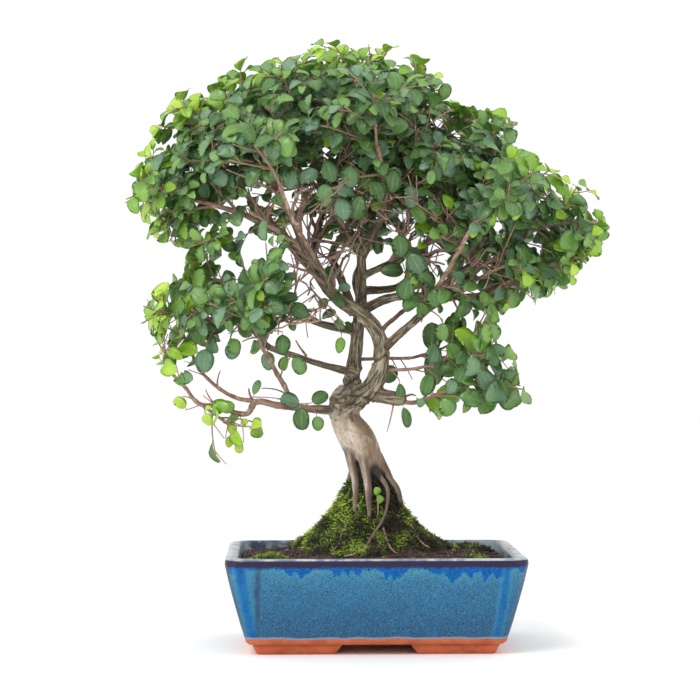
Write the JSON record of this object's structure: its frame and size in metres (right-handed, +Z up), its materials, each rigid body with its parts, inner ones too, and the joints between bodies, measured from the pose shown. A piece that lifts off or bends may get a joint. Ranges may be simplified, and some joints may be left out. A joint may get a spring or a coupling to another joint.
{
  "type": "potted bonsai tree",
  "caption": "Small-leaved bonsai with a twisted bole and winding limbs, standing on a mossy mound in a rectangular footed pot with a blue running glaze.",
  "frame": {"origin": "on the table, under the middle of the outline of tree and pot together", "axes": "+Z up along the tree, -Y towards the front that the picture shows, +X to its right along the pot's long side"},
  "size_m": [0.4025, 0.289, 0.5021],
  "materials": {
    "glazed_stoneware": "gloss",
    "drain_mesh": "matte",
    "soil": "matte",
    "moss": "matte",
    "bark": "matte",
    "foliage": "satin"
  },
  "bodies": {
    "root": {"pot": "glazed_stoneware", "drain_screen_left": "drain_mesh", "drain_screen_right": "drain_mesh", "soil": "soil", "moss_carpet": "moss", "moss_cushion_1": "moss", "moss_cushion_2": "moss", "moss_cushion_3": "moss", "tree": "bark", "sprout": "foliage", "spray_01": "foliage", "spray_02": "foliage", "spray_03": "foliage", "spray_04": "foliage", "spray_05": "foliage", "spray_06": "foliage", "spray_07": "foliage", "spray_08": "foliage", "spray_09": "foliage", "spray_10": "foliage", "spray_11": "foliage", "spray_12": "foliage", "spray_13": "foliage", "spray_14": "foliage", "spray_15": "foliage", "spray_16": "foliage", "spray_17": "foliage", "spray_18": "foliage", "spray_19": "foliage", "spray_20": "foliage", "spray_21": "foliage", "spray_22": "foliage", "spray_23": "foliage", "spray_24": "foliage", "spray_25": "foliage", "spray_26": "foliage", "spray_27": "foliage", "spray_28": "foliage", "spray_29": "foliage", "spray_30": "foliage", "spray_31": "foliage", "spray_32": "foliage", "spray_33": "foliage", "spray_34": "foliage", "spray_35": "foliage", "spray_36": "foliage", "spray_37": "foliage", "spray_38": "foliage", "spray_39": "foliage", "spray_40": "foliage", "spray_41": "foliage", "spray_42": "foliage", "spray_43": "foliage", "spray_44": "foliage", "spray_45": "foliage", "spray_46": "foliage", "spray_47": "foliage", "spray_48": "foliage", "spray_49": "foliage"}
  },
  "joints": []
}
